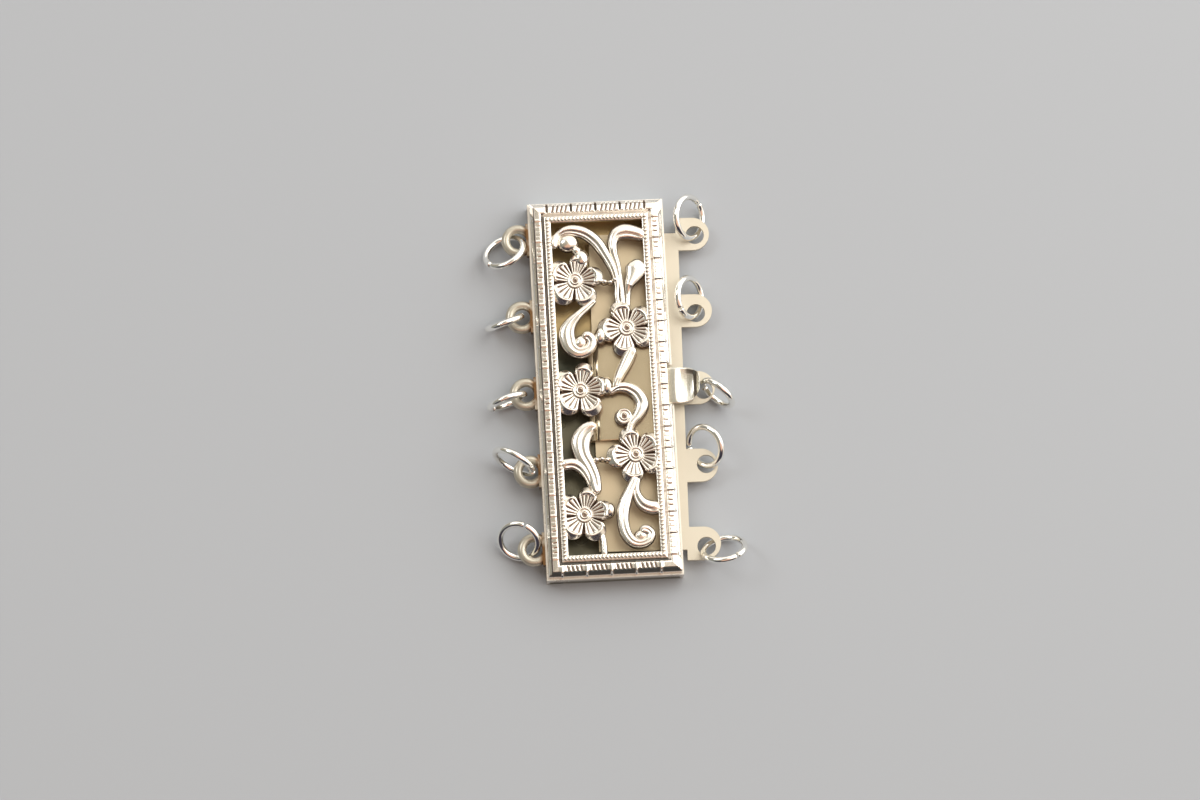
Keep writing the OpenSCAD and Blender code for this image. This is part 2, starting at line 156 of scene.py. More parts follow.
def recess_patina_and_shade():
    """Shared effect. Brown patina, and painted shade where the attribute is raised for it, comes in where the
    recess attribute plus 0.6 of a fine noise passes 0.55 to 1.15, and turns to slate, a painted dark shade,
    where the attribute passes 1.3 to 1.7.
    Roughness grows by 0.3 with it and by cloud_spread with a broad noise, which is also the height of the
    surface."""
    group = bpy.data.node_groups.new("recess patina and painted shade", "ShaderNodeTree")
    for title, kind, value in (("Clean", "NodeSocketColor", (0.9, 0.87, 0.82, 1)),
                               ("Patina and shade", "NodeSocketColor", (0.2, 0.12, 0.07, 1)),
                               ("Amount", "NodeSocketFloat", 1.0),
                               ("Roughness", "NodeSocketFloat", 0.2),
                               ("Scale", "NodeSocketFloat", 900.0)):
        group.interface.new_socket(name=title, in_out="INPUT", socket_type=kind).default_value = value
    for title, kind in (("Color", "NodeSocketColor"), ("Roughness", "NodeSocketFloat"),
                        ("Height", "NodeSocketFloat")):
        group.interface.new_socket(name=title, in_out="OUTPUT", socket_type=kind)
    given = group.nodes.new("NodeGroupInput").outputs
    out = group.nodes.new("NodeGroupOutput").inputs
    where = wired(group, "TexCoord", {}).outputs["Object"]
    attribute = wired(group, "Attribute", {})
    attribute.attribute_name = "recess"
    deep = attribute.outputs["Fac"]
    speck = wired(group, "TexNoise", {"Vector": where, "Scale": given["Scale"], "Detail": 5}).outputs["Fac"]
    cloud = wired(group, "TexNoise", {"Vector": where, "Scale": 260, "Detail": 2}).outputs["Fac"]
    push = wired(group, "Math", {0: speck, 1: 0.6, 2: deep}, "MULTIPLY_ADD")
    patina_and_shade_share = wired(group, "MapRange", {"Value": push.outputs[0], "From Min": 0.55, "From Max": 1.15})
    much = wired(group, "Math", {0: patina_and_shade_share.outputs["Result"], 1: given["Amount"]}, "MULTIPLY").outputs[0]
    # Slate, where the attribute is highest, is painted dark shade
    deepest = wired(group, "MapRange", {"Value": deep, "From Min": 1.3, "From Max": 1.7})
    dark = wired(group, "Mix", {"Factor": deepest.outputs["Result"], "A": given["Patina and shade"],
                                "B": (0.13, 0.14, 0.13, 1)}, "RGBA")
    tint = wired(group, "Mix", {"Factor": much, "A": given["Clean"], "B": dark.outputs["Result"]}, "RGBA")
    dull = wired(group, "Math", {0: much, 1: 0.3, 2: given["Roughness"]}, "MULTIPLY_ADD")
    rough = wired(group, "Math", {0: cloud, 1: cloud_spread, 2: dull.outputs[0]}, "MULTIPLY_ADD")
    group.links.new(tint.outputs["Result"], out["Color"])
    group.links.new(rough.outputs[0], out["Roughness"])
    group.links.new(cloud, out["Height"])
    return group


patina_and_shade = recess_patina_and_shade()


def silver(name, clean, brown, amount, roughness, bump, metallic=1.0):
    """Silver with the shared patina and painted shade: brown is the colour of the patina and the lighter
    painted shade, amount their share where they are full, and bump the height of the fine unevenness in
    metres."""
    material = bpy.data.materials.new(name)
    material.use_nodes = True
    tree = material.node_tree
    shader = tree.nodes["Principled BSDF"].inputs
    effect = tree.nodes.new("ShaderNodeGroup")
    effect.name = "patina_and_shade"
    effect.node_tree = patina_and_shade
    for title, value in (("Clean", (*clean, 1)), ("Patina and shade", (*brown, 1)), ("Amount", amount),
                         ("Roughness", roughness - cloud_spread / 2)):
        effect.inputs[title].default_value = value
    dent = wired(tree, "Bump", {"Height": effect.outputs["Height"], "Strength": 1.0, "Distance": bump})
    shader["Metallic"].default_value = metallic
    tree.links.new(effect.outputs["Color"], shader["Base Color"])
    tree.links.new(effect.outputs["Roughness"], shader["Roughness"])
    tree.links.new(dent.outputs["Normal"], shader["Normal"])
    return material


cast_silver = silver("cast silver", (0.9, 0.855, 0.78), (0.2, 0.125, 0.085), 0.95, 0.23, 3e-5)


def ease(x):
    """Smooth step from 0 to 1: 3 x x - 2 x x x, held at its ends."""
    x = np.clip(x, 0, 1)
    return x * x * (3 - 2 * x)


def window(x, low, high, soft):
    """1 between low and high and 0 outside them, with a smooth edge soft wide."""
    return ease((x - low) / soft + 0.5) * ease((high - x) / soft + 0.5)


def comb(y, step, width):
    """A row of rounded ridges: 1 at every multiple of step, 0 beyond half a width from it."""
    return ease(1 - np.abs((y + step / 2) % step - step / 2) / (width / 2))


# Section of the moulding: inset from the case's outer face, height
moulding = np.array([
    [0.44, 1.72], [0.17, 1.72], [0.165, 1.8], [0.165, 2.0], [0.17, 2.14], [0.185, 2.22], [0.22, 2.285],
    [0.275, 2.335], [0.34, 2.385], [0.4, 2.435], [0.44, 2.47], [0.455, 2.5], [0.475, 2.56], [0.51, 2.585],
    [0.58, 2.594], [0.66, 2.6], [0.72, 2.605], [0.78, 2.61], [0.84, 2.614], [0.9, 2.618], [0.96, 2.617],
    [1.02, 2.6], [1.055, 2.56], [1.08, 2.48], [1.11, 2.42], [1.17, 2.395], [1.23, 2.41], [1.265, 2.47],
    [1.29, 2.55], [1.32, 2.59], [1.37, 2.605], [1.45, 2.612], [1.57, 2.614], [1.69, 2.61], [1.79, 2.6],
    [1.825, 2.56], [1.83, 2.35], [1.83, 2.14], [1.3, 2.14], [0.66, 2.14]])
# The cove is the section's first points, up to the band's outer edge; the crown is all of it this high
cove_points, crown_z = 13, 2.38
cove, crown = np.arange(len(moulding))[None] < cove_points, (moulding[:, 1] > crown_z)[None]
# Nicks of a side: distance apart, width, half the length of a row, inset from and to, depth
nick_forms = {"long": (0.4, 0.2, 0.6, 0.62, 0.96, 0.05), "short": (0.355, 0.28, 0.75, 0.5, 1.02, 0.08)}
corner_length, corner_rows = 1.9, 18


def moulding_side(half_length, half_across, form, step, bars, spacing, slant, horns, groove_patina_and_shade, soot, shift=0.0,
                  lift=0.1, broad=0.27, foot=0.0, line=0.0, slots=0.0, notched=False):
    """One side along +Y facing +X. The section runs round each column; along the side, points lie evenly in
    the middle, and run out to the mitre (distance to the end = inset) near the corners. Bars, so many steps
    each way from shift, raise the band by lift, and rows of slanted nicks sink it between them; beyond them
    the band is a plain pad, and the cove rises to it by horns (at -Y, at +Y). Foot moves the cove out under
    a bar. Slots, 0 or 1, reaches further out with bars and nicks and paints the bars slate as painted shade,
    which a lift below 0 sinks. The groove darkens with groove_patina_and_shade: patina, and painted slate
    shade where it is large; soot darkens the nicks, and line paints slate shade along the band's outer edge on
    a long side and over the cove on a short one."""
    inset, height = moulding[:, 0], moulding[:, 1]
    middle = half_length - corner_length
    even = np.linspace(-middle, middle, int(2 * middle / spacing))
    out = np.linspace(0, 1, corner_rows + 1)[1:]
    run = half_length - inset[None] - middle
    y = np.concatenate([-(middle + run * out[::-1, None]), np.repeat(even[:, None], len(inset), 1),
                        middle + run * out[:, None]])
    u = np.repeat(inset[None], len(y), 0)
    z = np.repeat(height[None], len(y), 0)
    # Bars and nicks
    ridged = window(y, shift - bars * step - 0.25, shift + bars * step + 0.25, 0.06)
    bar = comb(y - shift, step, broad) * ridged
    cell = (y - shift + step) % step - step / 2 + slant * (u - 0.75)
    pitch, width, row, start, stop, sink = nick_forms[form]
    reach = (np.abs(cell) < row) * window(u, start - 0.32 * slots, stop, 0.12)
    if form == "long":
        nick = comb(cell, pitch, width) * reach * (0.6 + 0.4 * np.sin(7.3 * y + 2 * np.sin(3.1 * y)))
    else:
        nick = comb(cell + pitch / 2, pitch, width) * reach
    nick = nick * crown * ridged * (1 - bar)
    bar_reach = window(u, 0.42 - 0.2 * slots, 1.16 - 0.2 * slots, 0.1) * crown
    z = z + lift * bar * bar_reach - sink * nick
    web = bar * window(u, 0.17, 0.5, 0.08) * (z > 1.8) * cove
    u = u - (0.03 + foot) * web
    # Pads at the corners: on the long sides the cove rises over the last 1.15, on the short ones at the mitre
    gap = np.maximum(half_length - np.abs(y) - u, 0)
    horn = ease((1.15 - gap) / 0.3 if form == "long" else 1 - gap / 0.14)
    horn = horn * cove * (height[None] > 2.1) * np.where(y < 0, *horns)
    z = z + horn * np.maximum(0, 2.56 - z)
    # Opening over the thumb tab
    if notched:
        opening = window(y, *notch_y, 0.02) * (u < 0.63)
        u = u + opening * np.maximum(0, 0.45 - u)
        z = z + opening * np.maximum(0, notch_z - z)
    # Tarnish in the nicks and the groove; painted slate shade in the groove where groove_patina_and_shade is
    # large, along the edge that line picks, and in the sunken slots
    groove = window(u, 1.07, 1.27, 0.06) * crown
    edge = window(u, 0.42, 0.51, 0.04) if form == "long" else window(u, 0.2, 0.54, 0.08) * (1 - bar)
    edge = line * edge * (height[None] > 2.2)
    slot = 1.8 * slots * bar * (u < 0.9)
    recess = np.clip(nick * soot * 1.5, 0, 1) + 2 * groove_patina_and_shade * groove + 2 * edge + slot
    return np.stack([half_across - u, y, z, recess], -1)


def turned(grid, quarter):
    """The grid turned by quarter turns about Z, keeping its fourth value."""
    c, s = [(1, 0), (0, 1), (-1, 0), (0, -1)][quarter]
    return np.concatenate([(c * grid[..., 0] - s * grid[..., 1])[..., None],
                           (s * grid[..., 0] + c * grid[..., 1])[..., None], grid[..., 2:]], -1)


long_side = dict(half_length=half_long, half_across=half_wide, form="long", step=long_step, bars=8,
                 spacing=0.032)
short_side = dict(half_length=half_wide, half_across=half_long, form="short", step=short_step, bars=2,
                  spacing=0.026)
# The left and lower sides get painted slate shade in the groove and, by line, along the outer edge and over
# the cove; the upper side gets it on its sunken bars by slots
sides = [
    moulding_side(**long_side, slant=0.0, horns=(0.8, 1.0), groove_patina_and_shade=0.25, soot=0.8, notched=True),
    moulding_side(**short_side, slant=-0.25, horns=(1.0, 1.0), groove_patina_and_shade=0.2, soot=0.7, lift=-0.23, slots=1.0),
    moulding_side(**long_side, slant=0.12, horns=(1.0, 0.0), groove_patina_and_shade=0.8, soot=1.0, lift=0.055, line=0.9),
    moulding_side(**short_side, slant=0.2, horns=(0.0, 0.8), groove_patina_and_shade=0.9, soot=0.75, shift=-0.3, lift=0.09,
                  broad=0.42, foot=0.12, line=1.0)]
build("cover_moulding", [(turned(grid, quarter), False, True) for quarter, grid in enumerate(sides)],
      cast_silver, "box", "cast_silver", "filigree_cover")


# Grains: the row of small silver beads on the inner rim, cast in one with the cover. Each is a low
# dome on the rim's flat top, longer across the rim than along it and set a little askew.
rim_inset, grain_half_sizes, grain_foot, grain_rise = 1.57, (0.22, 0.158), 2.585, 0.18


def dome(x, y, rx, ry, base, rise, rings, spokes, turn):
    """Half an ellipsoid: ring k of the grid lies at polar angle p from the pole, at radius sin p and
    height cos p; a flat foot closes it. The lowest three tenths count as a recess."""
    p = np.concatenate([np.linspace(0, np.pi / 2, rings), [np.pi / 2]])
    a = np.linspace(0, 2 * np.pi, spokes, endpoint=False)
    r = np.sin(p); r[-1] = 0
    h = np.cos(p); h[-1] = 0
    px, py = np.outer(r, np.cos(a)) * rx, np.outer(r, np.sin(a)) * ry
    c, s = np.cos(turn), np.sin(turn)
    z = base + rise * np.repeat(h[:, None], spokes, 1)
    recess = np.repeat(np.where(h < 0.3, 0.9, 0.0)[:, None], spokes, 1)
    return np.stack([x + c * px - s * py, y + s * px + c * py, z, recess], -1)


rim_wide, rim_long = half_wide - rim_inset, half_long - rim_inset
spots = [(side * rim_wide, y, 0.35) for side in (-1, 1) for y in np.linspace(-rim_long, rim_long, 92)]
spots += [(x, side * rim_long, 1.9) for side in (-1, 1) for x in np.linspace(-rim_wide, rim_wide, 27)]
build("rim_grains", [(dome(x, y, *grain_half_sizes, grain_foot, grain_rise, 5, 10, turn), False, True)
                     for x, y, turn in spots], cast_silver, "box", "cast_silver", "filigree_cover")


# Scrolls and leaves: silver stems that branch from flower to flower, cast in one with the cover.
# Each is a rounded ribbon whose width swells and thins along a smooth curve through given
# points; small bosses stand in the curls and between the stems.
relief = 0.64


def smooth_path(path, steps):
    """Catmull-Rom curve through the points, steps to a span."""
    p = np.array(path, float)
    p = np.concatenate([p[:1], p, p[-1:]])
    a, b, c, d = p[:-3, None], p[1:-2, None], p[2:-1, None], p[3:, None]
    t = (np.arange(steps) / steps)[None, :, None]
    curve = 0.5 * (2 * b + (c - a) * t + (2 * a - 5 * b + 4 * c - d) * t ** 2
                   + (3 * b - 3 * c + d - a) * t ** 3)
    return np.concatenate([curve.reshape(-1, 3), p[-1:]])


def ribbon(path, crease, spot, steps=14, sections=36):
    """Rounded ribbon along a path: across it, at share s of the half width, the height is relief times
    (1 - s s)^0.25, cut by a crease at s = spot, past which it lies a little lower. A thin ribbon is lower
    in proportion. Its ends close in a half round, and the crease fades towards them."""
    p = smooth_path(path, steps)
    run = np.gradient(p[:, :2], axis=0)
    run /= np.linalg.norm(run, axis=1)[:, None]
    side = np.stack([-run[:, 1], run[:, 0]], -1)
    length = np.concatenate([[0], np.cumsum(np.linalg.norm(np.diff(p[:, :2], axis=0), axis=1))])
    half = p[:, 2] / 2
    end = np.minimum(length, length[-1] - length) / np.maximum(half, 1e-6)
    taper = np.sqrt(np.clip(1 - (1 - np.clip(end, 0, 1)) ** 2, 0, 1))
    a = np.linspace(0, 2 * np.pi, sections, endpoint=False)
    s, top = np.cos(a), np.sin(a) > 1e-6
    hump = np.where(top, np.abs(np.sin(a)) ** 0.5, 0)
    swell = np.clip(half / 0.36, 0.6, 1.0)
    fade = (ease(end / 1.6) * crease)[:, None]
    cut = np.exp(-((s - spot) / 0.11) ** 2) * top
    beyond = 0.35 * ease((np.sign(spot) * (s - spot)) / 0.2) * top * hump
    across = half[:, None] * s[None] * taper[:, None]
    rise = (relief * swell * (0.35 + 0.65 * taper))[:, None]
    z = under_z + rise * (hump[None] - fade * (cut + beyond)[None])
    recess = np.clip(np.where(top, 1.25 - 1.3 * hump, 1.2)[None] + 2.2 * fade * cut[None], 0, 1)
    x, y = p[:, 0, None] + side[:, 0, None] * across, p[:, 1, None] + side[:, 1, None] * across
    return np.stack([x, y, z, recess], -1)


# Path of (x, y, width), depth of the crease, place of the crease across the ribbon
scrolls = [
    ([[-3.5, 11.6, 0.65], [-3.5, 12.3, 0.7], [-3.1, 12.85, 0.62], [-2.45, 13.15, 0.8], [-1.65, 13.1, 0.95],
      [-0.8, 12.75, 1.0], [0, 12.0, 1.0], [0.6, 10.95, 0.85], [1.06, 10, 0.74], [1.32, 9.1, 0.58],
      [1.4, 8.3, 0.46], [1.35, 7.5, 0.42], [1.45, 6.7, 0.4]], 0.3, -0.3),
    ([[4.0, 12.35, 1.05], [2.95, 12.75, 1.2], [2.2, 12.85, 1.3], [1.55, 12.6, 1.1], [1.25, 12.0, 0.85],
      [1.3, 11.1, 0.68], [1.55, 10.1, 0.54], [1.7, 9.1, 0.42], [1.8, 8.2, 0.4], [1.82, 7.5, 0.4],
      [1.85, 6.7, 0.38]], 0.3, 0.35),
    ([[2.2, 6.5, 0.4], [2.28, 7.5, 0.42], [2.34, 8.1, 0.6], [2.5, 8.55, 0.9], [2.75, 8.98, 1.25],
      [2.95, 9.4, 1.6], [3.07, 9.8, 1.75], [3.1, 10.2, 1.5], [3.08, 10.5, 1.0]], 0.0, 0.15),
    ([[-0.4, 7.25, 0.45], [-1.2, 6.6, 0.6], [-1.85, 6.05, 0.7], [-2.5, 5.4, 1.0], [-2.85, 4.75, 1.3],
      [-2.87, 4.1, 1.35], [-2.65, 3.35, 1.15], [-2, 2.87, 1.0], [-1.25, 3.05, 0.9], [-0.87, 3.65, 0.85],
      [-1.13, 4.2, 0.9], [-1.7, 4.15, 0.75]], 0.35, 0.3),
    ([[2.5, 3.2, 0.85], [2.05, 2.4, 1.0], [1.65, 1.65, 0.95], [1.25, 0.95, 0.8], [0.95, 0.3, 0.65],
      [0.75, -0.3, 0.5]], 0.25, 0.3),
    ([[0.3, -0.6, 0.4], [0.85, -0.25, 0.6], [1.4, -0.15, 0.85], [1.95, -0.27, 0.98], [2.6, -0.8, 1.08],
      [2.9, -1.65, 1.12], [2.5, -2.5, 0.9], [1.95, -3.15, 0.72], [1.6, -4.2, 0.6]], 0.35, -0.25),
    ([[-0.85, -3.45, 0.6], [-1.3, -3.35, 1.1], [-1.85, -3.75, 1.45], [-2.25, -4.5, 1.6], [-2.15, -5.55, 1.4],
      [-1.7, -6.5, 1.25], [-1.35, -7.4, 1.12], [-1.2, -8.2, 0.95], [-1.1, -8.9, 0.7]], 0.35, 0.07),
    ([[-1.55, -8.3, 0.5], [-1.88, -7.4, 0.7], [-2.35, -6.68, 0.92], [-3.05, -6.3, 1.0], [-4.0, -6.45, 1.0]],
     0.3, 0.3),
    ([[2.1, -7.5, 0.7], [1.75, -8.2, 0.8], [1.4, -8.9, 0.9], [1.1, -9.6, 1.05], [0.88, -10.4, 1.05],
      [0.84, -11.3, 1.0], [1, -12.15, 1.0], [1.45, -12.85, 0.9], [2.1, -13.1, 0.78], [2.75, -12.9, 0.75],
      [3.02, -12.35, 0.8], [2.65, -11.98, 0.85], [2.1, -12.05, 0.75]], 0.3, 0.0),
    ([[2.25, -7.6, 0.5], [2.05, -8.5, 0.6], [2.12, -9.2, 0.8], [2.5, -9.82, 1.05], [3.15, -10.15, 1.15],
      [4.0, -10.22, 1.15]], 0.3, -0.3),
    ([[-0.9, -12.1, 0.45], [-0.82, -13, 0.54], [-0.82, -14, 0.55]], 0.0, 0.15)]
# Bosses: x, y, half length, half width, turn in degrees, height
bosses = [
    (-2.4, 12.12, 0.9, 0.8, 0, 0.64), (-1.72, 11.45, 0.5, 0.42, 130, 0.5), (-1.38, 10.8, 0.8, 0.66, 110, 0.64),
    (0.4, 8.72, 0.32, 0.28, 0, 0.58), (0.88, 8.66, 0.26, 0.26, 0, 0.55), (1.22, 8.85, 0.26, 0.24, 0, 0.58),
    (-1.8, 3.75, 0.66, 0.55, 60, 0.5), (-0.15, 4.25, 0.76, 0.52, 80, 0.64), (0.12, 0.06, 0.76, 0.48, 88, 0.64),
    (1.32, -2.6, 0.72, 0.72, 0, 0.35), (-1.05, -6.05, 0.32, 0.3, 0, 0.6), (-0.6, -6.0, 0.28, 0.25, 0, 0.55),
    (-0.18, -6.08, 0.3, 0.27, 0, 0.58), (-0.18, -10.22, 0.66, 0.45, 85, 0.64),
    (2.25, -12.42, 0.62, 0.52, 0, 0.5)]
growth = [(ribbon(path, crease, spot), False, True) for path, crease, spot in scrolls]
growth += [(dome(x, y, rx, ry, under_z, high, 12, 28, np.radians(turn)), False, True)
           for x, y, rx, ry, turn, high in bosses]
build("scrolls_and_leaves", growth, cast_silver, "box", "cast_silver", "filigree_cover")


# Flowers: five silver blossoms of five petals, cast in one with the cover. A petal is ribbed from
# the ring at the centre outwards and ends in a smooth domed lobe; a deep gap parts it from the
# next. One pattern serves in two positions, which are the bearings of its gaps.
upright, turned_on = (-20, 46, 107, 182, 265), (5, 73, 141, 222, 295)
flowers = [(-2.0, 8.88, 2.36, upright), (2.0, 4.75, 2.38, turned_on), (-2.05, -0.28, 2.38, upright),
           (2.15, -5.77, 2.36, turned_on), (-2.27, -10.55, 2.36, upright)]
curl_eye = (1.38, -2.58)
petals, ribs_to_a_petal = 5, 5


def blossom(x, y, radius, gaps):
    """Polar grid: share f of the way to the petal's edge, and angle a from the petal's middle, stretched to
    the bearings of its gaps. A petal's edge is a circle of radius root 0.152 round a point at share 0.61. The
    ribbed bowl climbs from the centre and falls past f = 0.75; the lobe starts at f = 0.6 and falls from
    0.79; the valley sinks into the gaps. The last three rows turn in below to a flat underside."""
    f = np.concatenate([np.linspace(0, 1, 44), [1.0, 0.98, 0.0]])[:, None]
    share = np.linspace(0, petals, 240, endpoint=False)[None]
    bearing = np.radians(np.interp(share, np.arange(petals + 1), [*gaps, gaps[0] + 360]))
    a = (share % 1 - 0.5) * np.pi * 0.4
    edge = 0.61 * np.cos(a) + np.sqrt(np.maximum(0.0, 0.152 - (0.61 * np.sin(a)) ** 2))
    r = radius * f * (1 + (edge - 1) * f ** 2)
    ribs = (0.5 + 0.5 * np.cos(a * (petals * ribs_to_a_petal) + np.pi)) ** 4
    ribs = ribs * window(f, 0.31, 0.7, 0.12) * (0.55 + 0.45 * f / 0.7)
    climb, fall = np.clip((f - 0.3) / 0.4, 0, 1), np.clip((f - 0.75) / 0.25, 0, 1)
    bowl = 0.5 + 0.2 * climb - 0.17 * ribs - 0.35 * fall ** 2
    lobe = 0.84 + 0.1 * ease((f - 0.7) / 0.1) - 0.6 * np.clip((f - 0.79) / 0.21, 0, 1)
    lobe = lobe * ease((f - 0.6) / 0.16) * ease((0.52 - np.abs(a)) / 0.16)
    from_gap = (np.abs(a) - np.pi / petals) / (0.04 + 0.045 * f)
    valley = np.exp(-(from_gap ** 2)) * ease((f - 0.25) / 0.15)
    rise = relief * np.clip(np.maximum(bowl, lobe) - 0.5 * valley, 0.06, 2)
    rise[-2:] = 0
    rise[-3] = 0.1
    # Painted shade: the ribs of the upper petals, towards +Y, are painted darker than those of the lower ones
    shade = 0.75 + 0.25 * np.sin(bearing)
    recess = np.clip(1.3 * ribs * shade + 1.1 * valley + 0.25 * (f < 0.68) + 0.9 * (f > 0.98), 0, 1)
    recess[-3:] = 0.9
    return np.stack([x + r * np.cos(bearing), y + r * np.sin(bearing), under_z + rise, recess], -1)


# Section of the button at a flower's centre: radius, height, depth in a recess
button = np.array([
    [0, 2.5, 0.9], [0.1, 2.5, 0.9], [0.16, 2.56, 0.4], [0.21, 2.68, 0], [0.27, 2.73, 0], [0.33, 2.71, 0],
    [0.38, 2.62, 0.3], [0.43, 2.6, 0.3], [0.48, 2.66, 0], [0.54, 2.7, 0], [0.6, 2.66, 0], [0.645, 2.56, 0.5],
    [0.66, 2.4, 1], [0.66, 2.16, 1], [0, 2.16, 1]])


def centre_button(x, y):
    """The section turned round its centre: a ring within a ring round a small pit. One is a curl's eye."""
    a = np.linspace(0, 2 * np.pi, 56, endpoint=False)[None]
    r, z, recess = (button[:, k, None] + 0 * a for k in range(3))
    return np.stack([x + r * np.cos(a), y + r * np.sin(a), z, recess], -1)


blooms = [(blossom(*flower), False, True) for flower in flowers]
blooms += [(centre_button(x, y), False, True) for x, y, *_ in [*flowers, curl_eye]]
build("blossoms", blooms, cast_silver, "box", "cast_silver", "filigree_cover")


# Tray and tongue: stamped sheet silver, matte, with painted yellow shade where the case covers them, the tray
# with its wire loops soldered on and the tongue folded from one strip. Each is the model's own form with its
# sharp edges eased.
def eased(name, node, width, material, edge_material, body):
    """A merged copy of the node's mesh whose edges sharper than 35 degrees get a bevel of the given width;
    faces within 0.6 degree are joined, and shading breaks at 30 degrees."""
    shell = bmesh.new()
    shell.from_mesh(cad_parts[node].data)
    bmesh.ops.remove_doubles(shell, verts=shell.verts, dist=weld)
    bmesh.ops.dissolve_limit(shell, angle_limit=np.radians(0.6), verts=shell.verts, edges=shell.edges)
    mesh = bpy.data.meshes.new(name)
    shell.to_mesh(mesh)
    shell.free()
    mesh.materials.append(material)
    mesh.materials.append(edge_material)
    piece = bpy.data.objects.new(name, mesh)
    bpy.context.scene.collection.objects.link(piece)
    bevel = piece.modifiers.new("eased edges", "BEVEL")
    bevel.width = width * mm
    bevel.segments = 2
    bevel.limit_method = "ANGLE"
    bevel.angle_limit = np.radians(35)
    bevel.material = 1
    mesh.polygons.foreach_set("use_smooth", np.ones(len(mesh.polygons), bool))
    mesh.set_sharp_from_angle(angle=np.radians(30))
    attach(piece, body)
    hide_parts(node)


def masked(material, colour, limits, noise_scale=0.0, noise_share=0.0):
    """Mixes colour over the material's clean colour. Its share is the product of a smooth step for each of
    limits, (axis, low, high) in millimetres of Object coordinates, which falls where low is above high; with
    a noise_scale, also of a step on noise from 0.62 to 0.82, both less noise_share."""
    tree = material.node_tree
    clean = tree.nodes["patina_and_shade"].inputs["Clean"]
    where = wired(tree, "TexCoord", {}).outputs["Object"]
    split = wired(tree, "SeparateXYZ", {"Vector": where})
    shares = []
    for axis, low, high in limits:
        start, stop = (1.0, 0.0) if low > high else (0.0, 1.0)
        ramp = wired(tree, "MapRange", {
            "Value": split.outputs[axis], "From Min": min(low, high) * mm, "From Max": max(low, high) * mm,
            "To Min": start, "To Max": stop}, "SMOOTHSTEP")
        shares.append(ramp.outputs["Result"])
    if noise_scale:
        cloud = wired(tree, "TexNoise", {"Vector": where, "Scale": noise_scale, "Detail": 3})
        patch = wired(tree, "MapRange", {"Value": cloud.outputs["Fac"], "From Min": 0.62 - noise_share,
                                         "From Max": 0.82 - noise_share})
        shares.append(patch.outputs["Result"])
    share = shares[0]
    for other in shares[1:]:
        share = wired(tree, "Math", {0: share, 1: other}, "MULTIPLY").outputs[0]
    under = clean.links[0].from_socket if clean.is_linked else clean.default_value[:]
    mix = wired(tree, "Mix", {"Factor": share, "A": under, "B": (*colour, 1)}, "RGBA")
    tree.links.new(mix.outputs["Result"], clean)


# In turn: painted yellow-brown shade inside the case, a painted dark olive reflection on the floor below its
# upper third, painted dark reflections in patches there, the wire loops painted darker as shade, and brown
# solder with painted shade at their roots by the wall
tray_silver = silver("satin tray silver", (0.86, 0.82, 0.75), (0.3, 0.2, 0.1), 0.6, 0.28, 3e-5, 0.6)
inside_x, inside_y = [("X", -5.4, -5.2), ("X", 5.4, 5.2)], [("Y", -15.5, -15.3), ("Y", 15.5, 15.3)]
masked(tray_silver, (0.6, 0.45, 0.22), [("Z", 1.75, 1.5), *inside_x, *inside_y])
masked(tray_silver, (0.17, 0.16, 0.11), [("Z", 1.2, 0.6), *inside_x, ("Y", 5.6, 3.8)])
masked(tray_silver, (0.06, 0.065, 0.045), [("Z", 0.7, 0.4), *inside_x, ("Y", 6.0, 4.5)], 300, 0.16)
masked(tray_silver, (0.55, 0.51, 0.42), [("X", -5.5, -5.6)])
masked(tray_silver, (0.2, 0.1, 0.035), [("X", -6.15, -5.75), ("X", -5.5, -5.6)], 900, 0.3)
eased("tray", "box_tray", 0.04, tray_silver, tray_silver, "box")
# The tongue is painted yellower where the case covers it, as painted shade and reflection of the case's
# inside, and its cut edges are painted darker brown as shade
tongue_silver = silver("matte tongue silver", (0.53, 0.485, 0.4), (0.36, 0.24, 0.13), 0.6, 0.46, 3e-5, 0.6)
masked(tongue_silver, (0.74, 0.625, 0.43), [("X", 6.2, 3.8)])
masked(tongue_silver, (0.66, 0.61, 0.5), [("X", 3.8, 6.2)])
painted_shade_edge = silver("sheet edge with painted shade", (0.5, 0.42, 0.28), (0.3, 0.2, 0.1), 0.6, 0.35, 2e-5)
eased("tongue", "tongue_plate", 0.045, tongue_silver, painted_shade_edge, "tongue")


# Spring leaf: the tongue's upper leaf, of the same sheet, which rises from the fold to the catch,
# and the thumb tab that runs on from it, pressed hollow, with a turned-up lip.
tongue_turn = np.radians(-1.2)
sheet, bowl_depth = 0.35, 0.19
# Along the leaf: x, half width, middle in y, top
leaf_line = np.array([
    [-0.87, 4.3, 0, 1.483], [1.0, 4.3, 0, 1.643], [3.0, 4.3, 0, 1.815], [4.9, 4.3, 0, 1.979],
    [4.92, 4.29, 0, 1.98], [4.925, 1.47, 0.03, 1.98], [5.4, 1.49, 0.03, 2.01], [5.75, 1.49, 0.03, 2.04],
    [5.88, 1.49, 0.03, 2.045], [6.0, 1.49, 0.03, 2.035], [6.2, 1.48, 0.03, 2.005], [6.45, 1.47, 0.03, 1.99],
    [6.7, 1.45, 0.05, 1.985], [6.9, 1.4, 0.06, 2.0], [7.1, 1.32, 0.07, 2.05], [7.25, 1.16, 0.13, 2.11],
    [7.36, 1.07, 0.16, 2.17], [7.45, 0.97, 0.19, 2.23], [7.52, 0.88, 0.21, 2.33], [7.58, 0.79, 0.21, 2.405],
    [7.63, 0.71, 0.24, 2.42], [7.66, 0.58, 0.25, 2.41], [7.685, 0.42, 0.27, 2.38], [7.705, 0.25, 0.26, 2.35],
    [7.715, 0.06, 0.27, 2.31]])


def refined(line, steps):
    """More rows between the given ones, on straight runs."""
    at = np.concatenate([np.arange(steps) / steps + k for k in range(len(line) - 1)] + [[len(line) - 1]])
    return np.stack([np.interp(at, np.arange(len(line)), column) for column in line.T], -1)


